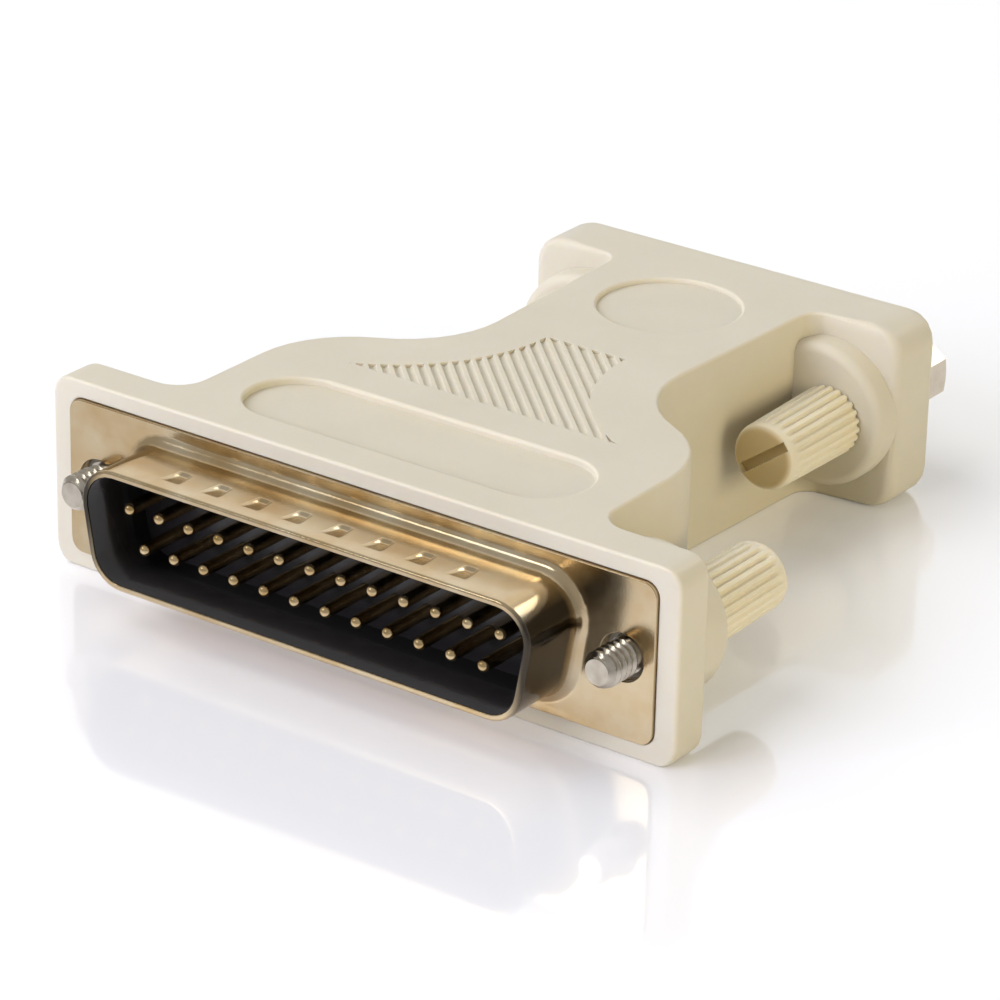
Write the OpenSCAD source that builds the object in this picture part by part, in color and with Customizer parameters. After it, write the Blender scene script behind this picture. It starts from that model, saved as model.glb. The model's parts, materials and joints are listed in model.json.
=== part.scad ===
// Moulded serial adapter: 25 way plug at the front, 9 way socket at the back, thumbscrews at both ends.
// Lengths are in millimetres. The modules work from the plug's plate, with y growing towards the socket
// and z from the screws' axes. Everything is then moved to stand on its flat underside.

/* [Moulded body] */
// Width of the front flange's lip beside the plug's plate
frame_lip = 1.83; // [1:0.01:3]
// Thickness of the front flange
frame_t = 3.55; // [3.2:0.05:5]
// Radius of the front flange's four corners
frame_corner = 1.6; // [1.2:0.1:3]
// Rounding of the front flange's upright edges
frame_edge = 0.4; // [0.35:0.05:0.9]
// Height of the body, flanges and hood alike
body_h = 15.2; // [14.4:0.1:18]
// Length of the body from the front flange's face to the rear flange's face
body_len = 51.75; // [49:0.25:58]
// Width of the hood across its shoulders
shoulder_w = 37; // [36.8:0.1:40]
// Distance from the plug's plate to the start of the shoulders' curve
shoulder_y = 13; // [11:0.25:16]
// Gap between the rear knobs and the hood at its waist
waist_gap = 1.165; // [1:0.005:1.4]
// Distance from the plug's plate to the waist
waist_y = 28.8; // [27:0.1:31]
// Angle at which the neck widens behind the waist
neck_flare = 2.2; // [1:0.1:2.6]
// Rounding of the hood's and the front flange's upper and lower edges
body_edge = 0.25; // [0.1:0.05:0.3]
// Fillet between the hood and the front flange
front_fillet = 2.4; // [1.5:0.1:3]
// Fillet between the neck and the rear flange
rear_fillet = 1.5; // [1:0.1:2]
// Width of the rear flange's lip beside the socket's plate
rear_lip = 1.75; // [1.2:0.01:3.5]
// Thickness of the rear flange
rear_t = 5.6; // [4.4:0.1:6]
// Radius of the rear flange's four corners
rear_corner = 2.4; // [2:0.1:3.5]
// Rounding of the rear flange's edges
rear_edge = 0.9; // [0.7:0.1:1.3]
// Thickness of the hood's side walls
hood_wall = 0.95; // [0.8:0.05:1]
// How far the metal plates stand proud of the moulding
plate_proud = 0.25; // [0.1:0.05:0.4]

/* [Marks on the top] */
// Length of the long recess behind the plug
recess_len = 29.8; // [20:0.2:32]
// Width of the long recess
recess_w = 7.9; // [4:0.1:8.2]
// Distance from the plug's plate to the middle of the long recess
recess_y = 7.7; // [7:0.1:8.5]
// Depth of the long recess
recess_depth = 0.6; // [0.2:0.05:0.8]
// Diameter of the round recess on the neck
spot_d = 11.3; // [6:0.1:12]
// Distance from the plug's plate to the middle of the round recess
spot_y = 40.2; // [38:0.1:42]
// Depth of the round recess
spot_depth = 0.4; // [0.2:0.05:0.6]
// Width of the ribbed grip along its straight front edge
grip_front_w = 24.4; // [18:0.2:26]
// Width of the ribbed grip along its rear edge
grip_rear_w = 7.2; // [5:0.2:8]
// Distance from the plug's plate to the grip's front edge
grip_y = 15.5; // [14.5:0.1:16.5]
// Length of the grip from front edge to rear edge
grip_len = 13.5; // [11:0.1:14]
// Depth of the grip's scooped grooves
groove_depth = 0.27; // [0.1:0.01:0.3]
// Width of one groove at the top
groove_w = 0.6; // [0.6:0.02:0.7]
// Spacing of the grooves, square to them
groove_pitch = 0.9; // [0.8:0.05:1.4]

/* [Screw bosses] */
// Diameter of the round bosses behind the front flange
front_boss_d = 11.7; // [8:0.1:12]
// Thickness of the bosses behind the front flange
front_boss_t = 3.95; // [1.5:0.05:4.5]
// How far the front bosses' middles lie inside the screws
front_boss_in = 1.85; // [0:0.05:2.4]
// Diameter of the round bosses before the rear flange
rear_boss_d = 11.8; // [8:0.1:12]
// Thickness of the bosses before the rear flange
rear_boss_t = 2.2; // [1.5:0.1:4]
// How far the rear bosses' middles lie inside the screws
rear_boss_in = 1.35; // [0.8:0.05:2.4]
// Rounding of the bosses' rims
boss_edge = 0.8; // [0.2:0.1:1.2]

/* [Thumbscrews] */
// Diameter of a knob where it meets its boss
knob_d = 5.66; // [4.6:0.02:5.8]
// Diameter of a knob at its slotted end
knob_end_d = 5.34; // [4.4:0.02:5.5]
// Length of a knob
knob_len = 9.5; // [8:0.1:12]
// Number of flutes round a knob
knob_flutes = 24; // [16:1:30]
// Width of one flute
flute_w = 0.52; // [0.3:0.02:0.6]
// Rounding of a knob's slotted end
knob_bevel = 0.7; // [0.3:0.05:1]
// Width of the driver slot
slot_w = 0.8; // [0.5:0.05:1.2]
// Depth of the driver slot
slot_depth = 1.1; // [0.5:0.05:2]
// Outside diameter of the screws' thread
screw_d = 2.84; // [2.5:0.02:3]
// Bevel at a screw's tip
screw_bevel = 0.5; // [0.2:0.05:0.7]
// Diameter of the relief behind a screw's thread
relief_d = 2.2; // [1.8:0.05:2.4]
// Length of the relief behind a screw's thread
relief_len = 0.6; // [0.4:0.05:0.8]
// How far the front screws stand out of the plug's plate
front_reach = 3; // [2:0.1:5]
// How far a screw reaches into its knob
screw_hold = 6; // [4:0.1:7.5]
// Clearance round a turning screw, on the radius
turn_gap = 0.05; // [0.02:0.01:0.1]
// Gap between a knob and its boss
knob_gap = 0.1; // [0.05:0.05:0.3]

/* [Jack nuts] */
// Width of a jack nut across its flats
nut_flats = 4.76; // [4.5:0.02:5.5]
// Length of a jack nut
nut_len = 5.6; // [5:0.1:8]
// Diameter of a jack nut's thread for the next screw, at the crests
nut_bore_d = 2.3; // [2.1:0.02:2.4]
// Depth of a jack nut that its own screw fills
nut_grip = 2.8; // [2:0.1:3]
// Bevel at a jack nut's outer end
nut_bevel = 0.5; // [0.2:0.05:0.8]

/* [Connector plates] */
// Thickness of the plated sheet of the shells
sheet_t = 0.5; // [0.4:0.05:0.6]
// Height of both connectors' plates
plate_h = 12.4; // [12:0.05:13]
// Corner radius of the plates
plate_corner = 1.1; // [0.8:0.1:2.5]
// Diameter of the screw holes in the plates
plate_hole_d = 3.6; // [3.2:0.05:3.8]
// Lean of the D shape's sides
lean = 10; // [8:0.5:12]
// Clearance round pieces that sit inside one another
seat_gap = 0.03; // [0.01:0.01:0.06]
// Radius where a shell's collar turns out into its plate
root_r = 0.9; // [0.5:0.05:1.1]
// Rounding of a collar's mouth
mouth_r = 0.25; // [0.1:0.05:0.4]
// How far the rear shells' skirts reach behind the plates' faces
skirt_y = 3; // [2.4:0.1:3.2]
// Thickness of the rear insulators
backing_t = 2; // [1.5:0.1:3]
// Thickness of the rear insulators above and below their contacts
backing_rim = 0.6; // [0.3:0.05:0.7]
// Corner radius of the rear insulators
backing_corner = 1; // [0.6:0.05:1.1]
// Thickness of the rear insulators beside their outermost contacts
backing_wall = 0.18; // [0.1:0.01:0.2]
// Distance between the two rows of contacts
row_pitch = 2.84; // [2.7:0.01:3]

/* [Plug, 25 way] */
// Distance between the plug's screws
plug_span = 47.04; // [46.5:0.02:47.5]
// Length of the plug's plate beyond the middle of each screw
plug_ear = 2.7; // [2.4:0.05:3.2]
// Width inside the plug's collar
plug_in_w = 38.96; // [38.6:0.02:39.2]
// Height inside the plug's collar
plug_in_h = 8.36; // [8:0.02:8.6]
// Corner radius inside the plug's collar
plug_in_r = 2.4; // [1.8:0.1:3]
// How far the plug's collar stands out of its plate
plug_depth = 6; // [5.4:0.1:6.5]
// Distance between neighbouring pins
pin_pitch = 2.76; // [2.7:0.01:2.78]
// Diameter of a pin
pin_d = 1; // [0.9:0.02:1.1]
// How far a pin stands out of the plug's plate
pin_reach = 5; // [4.4:0.1:5.6]
// Number of contact dimples along each long side of the collar
dimples = 8; // [2:1:9]
// Distance between neighbouring dimples
dimple_pitch = 3.64; // [3:0.02:4]
// Distance from the plug's plate to the dimples' steep back walls
dimple_y = 2.65; // [1.6:0.05:3]
// Length of a dimple, over which its floor rises to the collar's surface
dimple_len = 2.1; // [1:0.1:2.4]
// Width of a dimple at its back wall
dimple_w = 1.3; // [0.8:0.05:1.6]
// How much a dimple widens on each side towards its shallow end
dimple_flare = 0.3; // [0:0.05:0.5]
// Depth of a dimple at its back wall
dimple_depth = 0.3; // [0.15:0.01:0.35]

/* [Socket, 9 way] */
// Distance between the socket's screws
socket_span = 24.99; // [24.9:0.01:25.3]
// Length of the socket's plate beyond the middle of each screw
socket_ear = 2.91; // [2.6:0.01:3.2]
// Width outside the socket's collar
socket_out_w = 16.33; // [16:0.01:16.6]
// Height outside the socket's collar
socket_out_h = 7.9; // [7.6:0.01:8.1]
// Corner radius outside the socket's collar
socket_out_r = 2.6; // [2:0.1:3]
// How far the socket's collar stands out of its plate
socket_depth = 6.1; // [5.6:0.1:6.5]
// Distance between neighbouring sockets
socket_pitch = 2.74; // [2.7:0.01:2.78]
// Diameter of a socket contact's barrel
barrel_d = 1.6; // [1.4:0.02:1.7]
// Diameter of the opening that takes a mating pin
entry_d = 1.14; // [1.06:0.02:1.2]
// Depth of the insulator's face within the collar's mouth
socket_face = 0.2; // [0.1:0.05:0.5]
// Thickness of insulator before the contacts' ends
entry_t = 0.8; // [0.5:0.05:1.2]

/* [Wiring] */
// Diameter of the contacts where they pass the rear insulators
stem_d = 1.4; // [1.2:0.02:1.5]
// Outside diameter of a solder cup
cup_d = 1.74; // [1.6:0.02:1.8]
// Length of a solder cup
cup_len = 3.5; // [2.5:0.1:4]
// Outside diameter of a wire
wire_d = 1.1; // [0.8:0.02:1.16]
// How far a wire reaches into its solder cup
wire_hold = 1.4; // [0.8:0.1:2]
// Length in which a wire rises or falls to its lane
rise_len = 5; // [4:0.1:6]
// Straight length of a wire outside its solder cup
wire_free = 0.8; // [0.4:0.1:1]
// Gap above and below the wires' lanes
lane_gap = 0.2; // [0.1:0.05:0.4]
// Height between wires where they cross
lane_pitch = 1.25; // [1.2:0.01:1.28]

/* [Hidden] */
$fn = 48;
EPS = 0.01;
ARC = 7;
EDGE = 3;
FLUTE_OUT = 1 / 8;

BEIGE = "#d8d1bc";
KNOB = "#ded4ac";
PLATED = "#c9b68f";
STEEL = "#b9b9b6";
GOLD = "#d9b45c";
BLACK = "#17171a";

half_h = body_h / 2;
plug_plate_w = plug_span + 2 * plug_ear;
socket_plate_w = socket_span + 2 * socket_ear;
frame_w = plug_plate_w + 2 * frame_lip;
rear_w = socket_plate_w + 2 * rear_lip;
waist_w = socket_span - knob_d - 2 * waist_gap;
frame_front_y = plate_proud;
frame_back_y = frame_front_y + frame_t;
rear_face_y = frame_front_y + body_len;
rear_front_y = rear_face_y - rear_t;
rear_top_edge = 0.9 * rear_edge;
socket_y = rear_face_y + plate_proud;
plates_t = 2 * sheet_t;
front_boss_y = frame_back_y + front_boss_t;
rear_boss_y = rear_front_y - rear_boss_t;
rear_face = socket_y - rear_boss_y;
screw_r = screw_d / 2;
screw_hole_r = screw_r + turn_gap;

front_end_y = -max(plug_depth, front_reach);
rear_end_y = socket_y + max(socket_depth, nut_len);
middle_y = (front_end_y + rear_end_y) / 2;

socket_in_w = socket_out_w - 2 * sheet_t;
socket_in_h = socket_out_h - 2 * sheet_t;
socket_in_r = socket_out_r - sheet_t;
backing_y = skirt_y + backing_t;
cup_end_y = backing_y + cup_len;

// Contacts in the longer row of each connector
PLUG_ROW = 13;
SOCKET_ROW = 5;

// Shoulder curve: a convex arc that runs into a concave arc of the same radius
step_in = (shoulder_w - waist_w) / 2;
step_y = waist_y - shoulder_y;
swing = 2 * atan(step_in / step_y);
curve_r = step_y / sin(swing) / 2;
waist_c = [waist_w / 2 + curve_r, waist_y];

// One wire for each contact of the socket: plug contact, lane, colour, name
WIRES = [
    [8, 2, "#1c1c1e", "carrier_detect_wire"],
    [3, 3, "#7a4a2a", "receive_data_wire"],
    [2, 4, "#b8322a", "transmit_data_wire"],
    [20, -3, "#d9772b", "terminal_ready_wire"],
    [7, 1, "#dcc23a", "signal_ground_wire"],
    [6, -1, "#3d8a48", "data_set_ready_wire"],
    [4, -2, "#2f5fa8", "request_to_send_wire"],
    [5, 0, "#7c4a94", "clear_to_send_wire"],
    [22, -4, "#8b8d90", "ring_indicator_wire"],
];

// Height of the hollow that holds the contacts and the wires
cavity_h = (len(WIRES) - 1) * lane_pitch + wire_d + 2 * lane_gap;

// Wire routes: out of the plug's cup, up or down to a lane, across, and back to the socket's cup
run_start_y = cup_end_y - wire_hold;
run_end_y = socket_y - cup_end_y + wire_hold;
lift_y = cup_end_y + wire_free;
cross_y = lift_y + rise_len;
drop_y = run_end_y - wire_hold - wire_free;
uncross_y = drop_y - rise_len;
WIRE_SIDES = 8;
WIRE_RINGS = 22;

// Turn of each knob's slot: front left, front right, rear left, rear right
SLOT_TURNS = [-24, 62, 15, 36];

// Points of an arc about a centre
function arc(c, r, a0, a1, n = ARC) =
    [for (i = [0:n]) let (a = a0 + (a1 - a0) * i / n) c + r * [cos(a), sin(a)]];

// A list the other way round
function reversed(list) = [for (i = [len(list) - 1:-1:0]) list[i]];

// A list without its first entry
function after_first(list) = [for (i = [1:len(list) - 1]) list[i]];

// Rectangle with round corners, as points
function round_rect(w, h, r) =
    let (x = w / 2 - r, y = h / 2 - r)
    concat(
        arc([x, y], r, 0, 90), arc([-x, y], r, 90, 180),
        arc([-x, -y], r, 180, 270), arc([x, -y], r, 270, 360)
    );

// D shape of the connectors, wide side up, as points
function d_shape(w, h, r) =
    let (x = w / 2 - r, y = h / 2 - r, low = x - 2 * y * tan(lean))
    concat(
        arc([x, y], r, -lean, 90), arc([-x, y], r, 90, 180 + lean),
        arc([-low, -y], r, 180 + lean, 270), arc([low, -y], r, 270, 360 - lean)
    );

// Right side of the hood moved inwards by k: shoulder and waist
function hood_side(k) = concat(
    arc([shoulder_w / 2 - curve_r, shoulder_y], curve_r - k, 0, swing),
    after_first(arc(waist_c, curve_r + k, 180 + swing, 180 - neck_flare))
);

// How far an edge rounded by r lies inside the body's side at height z
function inset(r, z) = r - sqrt(r * r - pow(max(0, abs(z) - half_h + r), 2));

// Right half of the body's outline at height z, from the plug's end to the socket's end
function body_half(z) =
    let (
        k = inset(body_edge, z),
        rear_k = inset(rear_top_edge, z),
        front_x = frame_w / 2 - frame_edge - inset(frame_corner, z),
        rear_x = rear_w / 2 - rear_edge - inset(rear_corner, z),
        front_c = [shoulder_w / 2 + front_fillet, frame_back_y + front_fillet],
        neck = waist_c + curve_r * [-cos(neck_flare), sin(neck_flare)],
        run = (rear_front_y - rear_fillet * (1 - sin(neck_flare)) - neck[1]) / cos(neck_flare),
        rear_c = neck + run * [sin(neck_flare), cos(neck_flare)]
            + rear_fillet * [cos(neck_flare), -sin(neck_flare)]
    )
    concat(
        arc([front_x, frame_front_y + frame_edge], frame_edge - k, 270, 360, EDGE),
        arc([front_x, frame_back_y - frame_edge], frame_edge - k, 0, 90, EDGE),
        arc(front_c, front_fillet + k, 270, 180),
        hood_side(k),
        arc(rear_c, rear_fillet + k, 180 - neck_flare, 90),
        arc([rear_x, rear_front_y + rear_edge], rear_edge - rear_k, 270, 360, EDGE),
        arc([rear_x, rear_face_y - rear_edge], rear_edge - rear_k, 0, 90, EDGE)
    );
function body_outline(z) =
    let (right = body_half(z))
    concat(right, [for (p = reversed(right)) [-p[0], p[1]]]);

// Convex pieces of the body's outline, as point numbers: front flange, strips of the hood, rear flange
function body_pieces() =
    let (
        h = len(body_half(0)),
        last = 2 * h - 1,
        a = 2 * (EDGE + 1),
        b = h - 1 - a
    )
    concat(
        [concat([for (i = [0:a]) i], [for (i = [a:-1:0]) last - i])],
        [for (i = [a:b - 1]) [i, i + 1, last - i - 1, last - i]],
        [concat([h - 1], [for (i = [h - 1:-1:b]) last - i], [for (i = [b:h - 2]) i])]
    );

// Skin over a stack of outlines, each given with its height. An outline that isn't convex comes in pieces.
module loft(rings, pieces = []) {
    n = len(rings[0][1]);
    m = len(rings);
    floor_faces = len(pieces) > 0 ? pieces : [[for (i = [0:n - 1]) i]];
    polyhedron(
        points = [for (ring = rings) for (p = ring[1]) [p[0], p[1], ring[0]]],
        faces = concat(
            floor_faces,
            [for (face = floor_faces) [for (i = reversed(face)) (m - 1) * n + i]],
            [for (j = [0:m - 2]) for (i = [0:n - 1]) let (k = (i + 1) % n)
                [j * n + i, (j + 1) * n + i, (j + 1) * n + k, j * n + k]]
        )
    );
}

// Outline extruded along y, from y0 to y1
module across(y0, y1) {
    translate([0, y1, 0]) rotate([90, 0, 0]) linear_extrude(y1 - y0) children();
}

// Cylinder along y, from y0 to y1
module rod(r, y0, y1) {
    translate([0, y0, 0]) rotate([-90, 0, 0]) cylinder(r = r, h = y1 - y0);
}

// Profile of radius against length, turned about y
module turned(profile) {
    rotate([-90, 0, 0]) rotate_extrude() polygon(profile);
}

// Puts a copy on each side
module both_sides(span) {
    for (side = [-1, 1]) translate([side * span / 2, 0, 0]) children();
}

// From the plug's frame to the part's frame
module in_place() {
    translate([0, -middle_y, half_h]) children();
}

// From a connector's own frame to the socket's end
module at_socket() {
    translate([0, socket_y, 0]) rotate(180) children();
}

// Places of the plug's pins, in number order: the upper row, then the lower row
function pin_place(i) =
    i <= PLUG_ROW
    ? [(i - 1 - (PLUG_ROW - 1) / 2) * pin_pitch, row_pitch / 2]
    : [(i - PLUG_ROW - 1 - (PLUG_ROW - 2) / 2) * pin_pitch, -row_pitch / 2];

// Places of the socket's contacts, in number order, seen from the plug
function socket_place(i) =
    i <= SOCKET_ROW
    ? [(i - 1 - (SOCKET_ROW - 1) / 2) * socket_pitch, row_pitch / 2]
    : [(i - SOCKET_ROW - 1 - (SOCKET_ROW - 2) / 2) * socket_pitch, -row_pitch / 2];

module each_pin() {
    for (i = [1:2 * PLUG_ROW - 1]) let (p = pin_place(i)) translate([p[0], 0, p[1]]) children();
}

module each_socket() {
    for (i = [1:2 * SOCKET_ROW - 1]) let (p = socket_place(i)) translate([p[0], 0, p[1]]) children();
}

// Outline of the ribbed grip: straight ends and sides that follow the shoulders
module grip_outline() {
    front = grip_front_w / 2;
    rear = grip_rear_w / 2;
    side = front - rear;
    r = (side * side + grip_len * grip_len) / (2 * side);
    difference() {
        translate([-front - groove_pitch, grip_y]) square([2 * (front + groove_pitch), grip_len]);
        for (s = [-1, 1]) translate([s * (rear + r), grip_y + grip_len]) circle(r, $fn = 96);
    }
}

// Scooped grooves of the grip, running from the back left to the front right
module grooves() {
    reach = (grip_front_w + grip_len) / sqrt(2);
    count = ceil(reach / groove_pitch);
    scoop_r = (groove_w * groove_w / 4 + groove_depth * groove_depth) / (2 * groove_depth);
    intersection() {
        translate([0, 0, half_h - groove_w]) linear_extrude(2 * groove_w) grip_outline();
        translate([0, grip_y + grip_len / 2, half_h + scoop_r - groove_depth]) rotate(45)
            for (i = [-count / 2:count / 2]) translate([i * groove_pitch, 0, 0]) rod(scoop_r, -reach, reach);
    }
}

// Round boss with a rounded rim, its face at y0 and its body t long in direction dir
module boss(d, t, y0, dir) {
    r = d / 2;
    bend = [for (i = [0:EDGE]) let (a = 90 * i / EDGE)
        [r - boss_edge * (1 - sin(a)), boss_edge * (1 - cos(a))]];
    translate([0, y0, 0]) rotate([-90 * dir, 0, 0]) rotate_extrude()
        polygon(concat([[0, 0]], bend, [[r, t], [0, t]]));
}

// Skin of the moulding, before anything is cut into it
module moulding() {
    levels = concat(
        [for (a = [0, 20, 40, 55]) half_h - max(frame_corner, rear_corner) * (1 - sin(a))],
        [for (i = [0:EDGE]) half_h - body_edge * (1 - sin(90 * i / EDGE))]
    );
    loft(concat(
        [for (z = reversed(levels)) [-z, body_outline(z)]],
        [for (z = levels) [z, body_outline(z)]]
    ), body_pieces());
    both_sides(plug_span - 2 * front_boss_in)
        boss(front_boss_d, front_boss_t + frame_edge, front_boss_y, -1);
    both_sides(socket_span - 2 * rear_boss_in)
        boss(rear_boss_d, rear_boss_t + rear_edge, rear_boss_y, 1);
}

// Hollow for the contacts and the wires
module cavity() {
    side = hood_side(hood_wall);
    end = side[len(side) - 1];
    end_y = socket_y - skirt_y + EPS;
    end_x = end[0] + (end_y - end[1]) * tan(neck_flare);
    right = concat([[side[0][0], skirt_y - EPS]], side, [[end_x, end_y]]);
    translate([0, 0, -cavity_h / 2]) linear_extrude(cavity_h)
        polygon(concat(right, [for (p = reversed(right)) [-p[0], p[1]]]));
}

// Seat for a connector's two plates and its rear skirt, in the connector's own frame
module seat(plate_w, in_w, in_h, in_r) {
    grow = 2 * seat_gap;
    skirt = 2 * (sheet_t + 2 * seat_gap);
    across(-plate_proud - EPS, plates_t)
        polygon(round_rect(plate_w + grow, plate_h + grow, plate_corner + seat_gap));
    across(0, skirt_y) polygon(d_shape(in_w + skirt, in_h + skirt, in_r + skirt / 2));
}

// Moulded body
module housing() {
    in_place() color(BEIGE) difference() {
        moulding();
        cavity();
        seat(plug_plate_w, plug_in_w, plug_in_h, plug_in_r);
        at_socket() seat(socket_plate_w, socket_in_w, socket_in_h, socket_in_r);
        both_sides(plug_span) rod(screw_hole_r, 0, front_boss_y + EPS);
        both_sides(socket_span) rod(screw_hole_r, rear_boss_y - EPS, socket_y);
        translate([0, recess_y, half_h - recess_depth]) linear_extrude(body_h) {
            square([recess_len - recess_w, recess_w], center = true);
            for (s = [-1, 1]) translate([s * (recess_len - recess_w) / 2, 0]) circle(d = recess_w);
        }
        translate([0, spot_y, half_h - spot_depth]) cylinder(d = spot_d, h = body_h, $fn = 96);
        grooves();
    }
}

// Plate of a shell with its two screw holes and its D opening, from y0 to y0 + sheet_t
module shell_plate(plate_w, span, y0) {
    across(y0, y0 + sheet_t) difference() {
        polygon(round_rect(plate_w, plate_h, plate_corner));
        for (s = [-1, 1]) translate([s * span / 2, 0]) circle(d = plate_hole_d);
    }
}

// Front shell: plate and drawn collar with a rounded mouth and root
module front_shell(plate_w, span, in_w, in_h, in_r, depth) {
    difference() {
        union() {
            shell_plate(plate_w, span, 0);
            rotate([90, 0, 0]) loft(concat(
                [[-sheet_t / 2, d_shape(in_w + 2 * (sheet_t + root_r), in_h + 2 * (sheet_t + root_r),
                    in_r + sheet_t + root_r)]],
                [for (i = [EDGE:-1:0]) let (k = sheet_t + root_r * (1 - cos(90 * i / EDGE)))
                    [root_r * (1 - sin(90 * i / EDGE)), d_shape(in_w + 2 * k, in_h + 2 * k, in_r + k)]],
                [for (i = [0:EDGE]) let (k = sheet_t - mouth_r * (1 - cos(90 * i / EDGE)))
                    [depth - mouth_r * (1 - sin(90 * i / EDGE)), d_shape(in_w + 2 * k, in_h + 2 * k, in_r + k)]]
            ));
        }
        across(-depth - EPS, sheet_t + EPS) polygon(d_shape(in_w, in_h, in_r));
    }
}

// Rear shell: plate and skirt, behind the front shell
module rear_shell(plate_w, span, in_w, in_h, in_r) {
    difference() {
        union() {
            shell_plate(plate_w, span, sheet_t);
            across(sheet_t, skirt_y)
                polygon(d_shape(in_w + 2 * sheet_t, in_h + 2 * sheet_t, in_r + sheet_t));
        }
        across(sheet_t - EPS, skirt_y + EPS) polygon(d_shape(in_w, in_h, in_r));
    }
}

// Places of the stamped dimples on the collar's two long sides
module each_dimple() {
    for (up = [-1, 1]) for (i = [0:dimples - 1])
        translate([(i - (dimples - 1) / 2) * dimple_pitch, -dimple_y, up * (plug_in_h / 2 + sheet_t)])
            mirror([0, 0, up < 0 ? 1 : 0]) children();
}

// Pressed dimple: a steep back wall and a floor that rises towards the collar's mouth
module dimple() {
    wide = dimple_w / 2 + dimple_flare;
    intersection() {
        translate([0, 0, -dimple_len]) linear_extrude(2 * dimple_len)
            polygon([[-dimple_w / 2, 0], [dimple_w / 2, 0], [wide, -dimple_len], [-wide, -dimple_len]]);
        translate([-dimple_len, 0, 0]) rotate([90, 0, 90]) linear_extrude(2 * dimple_len)
            polygon([[0, -dimple_depth], [0, dimple_depth], [-dimple_len, dimple_depth], [-dimple_len, 0]]);
    }
}

module plug_front_shell() {
    in_place() color(PLATED) difference() {
        front_shell(plug_plate_w, plug_span, plug_in_w, plug_in_h, plug_in_r, plug_depth);
        each_dimple() dimple();
    }
}

module plug_rear_shell() {
    in_place() color(PLATED) rear_shell(plug_plate_w, plug_span, plug_in_w, plug_in_h, plug_in_r);
}

// Block that fills a shell from y0 to the end of the skirt
module block(in_w, in_h, in_r, y0) {
    across(y0, skirt_y)
        polygon(d_shape(in_w - 2 * seat_gap, in_h - 2 * seat_gap, in_r - seat_gap));
}

// Smaller block behind the skirt, just wider than a row of contacts
module backing(row_w) {
    hole_d = stem_d + 2 * seat_gap;
    across(skirt_y, backing_y) polygon(
        d_shape(row_w + hole_d + 2 * backing_wall, row_pitch + hole_d + 2 * backing_rim, backing_corner));
}

module plug_front_insulator() {
    in_place() color(BLACK) difference() {
        block(plug_in_w, plug_in_h, plug_in_r, 0);
        each_pin() rod(pin_d / 2 + seat_gap, -EPS, skirt_y + EPS);
    }
}

module plug_rear_insulator() {
    in_place() color(BLACK) difference() {
        backing((PLUG_ROW - 1) * pin_pitch);
        each_pin() rod(stem_d / 2 + seat_gap, skirt_y - EPS, backing_y + EPS);
    }
}

// Stem and solder cup of a contact, open towards up
module solder_cup(up) {
    difference() {
        turned([[0, skirt_y], [stem_d / 2, skirt_y], [stem_d / 2, backing_y], [cup_d / 2, backing_y],
            [cup_d / 2, cup_end_y], [0, cup_end_y]]);
        rod(wire_d / 2 + seat_gap, cup_end_y - wire_hold, cup_end_y + EPS);
        translate([-cup_d, cup_end_y - wire_hold, up > 0 ? wire_d / 4 : -wire_d / 4 - cup_d])
            cube([2 * cup_d, wire_hold + EPS, cup_d]);
    }
}

module plug_pins() {
    r = pin_d / 2;
    in_place() color(GOLD) for (i = [1:2 * PLUG_ROW - 1]) let (p = pin_place(i)) translate([p[0], 0, p[1]]) {
        turned(concat([[0, -pin_reach]], [for (a = [15:15:90]) [r * sin(a), -pin_reach + r * (1 - cos(a))]],
            [[r, skirt_y], [0, skirt_y]]));
        solder_cup(p[1]);
    }
}

module socket_front_shell() {
    in_place() at_socket() color(PLATED)
        front_shell(socket_plate_w, socket_span, socket_in_w, socket_in_h, socket_in_r, socket_depth);
}

module socket_rear_shell() {
    in_place() at_socket() color(PLATED)
        rear_shell(socket_plate_w, socket_span, socket_in_w, socket_in_h, socket_in_r);
}

module socket_front_insulator() {
    face = socket_face - socket_depth;
    bore = barrel_d / 2 + seat_gap;
    in_place() at_socket() color(BLACK) difference() {
        block(socket_in_w, socket_in_h, socket_in_r, face);
        each_socket() turned([[0, face - EPS], [bore, face - EPS], [entry_d / 2, face + entry_t / 2],
            [entry_d / 2, face + entry_t], [bore, face + entry_t], [bore, skirt_y + EPS], [0, skirt_y + EPS]]);
    }
}

module socket_rear_insulator() {
    in_place() at_socket() color(BLACK) difference() {
        backing((SOCKET_ROW - 1) * socket_pitch);
        each_socket() rod(stem_d / 2 + seat_gap, skirt_y - EPS, backing_y + EPS);
    }
}

module socket_contacts() {
    tip = socket_face - socket_depth + entry_t + seat_gap;
    in_place() at_socket() color(GOLD)
        for (i = [1:2 * SOCKET_ROW - 1]) let (p = socket_place(i)) translate([p[0], 0, p[1]]) {
            difference() {
                rod(barrel_d / 2, tip, skirt_y);
                rod(pin_d / 2 + seat_gap, tip - EPS, tip + pin_reach);
            }
            solder_cup(p[1]);
        }
}

// Smooth step from 0 to 1
function ease(t) = let (c = max(0, min(1, t))) c * c * (3 - 2 * c);

// Point of a wire's route at a distance y from the plug's plate
function wire_point(from, to, lane, y) = [
    from[0] + (to[0] - from[0]) * ease((y - cross_y) / (waist_y - cross_y)),
    y,
    y < (cross_y + uncross_y) / 2
    ? from[1] + (lane - from[1]) * ease((y - lift_y) / (cross_y - lift_y))
    : lane + (to[1] - lane) * ease((y - uncross_y) / (drop_y - uncross_y))
];

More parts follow.
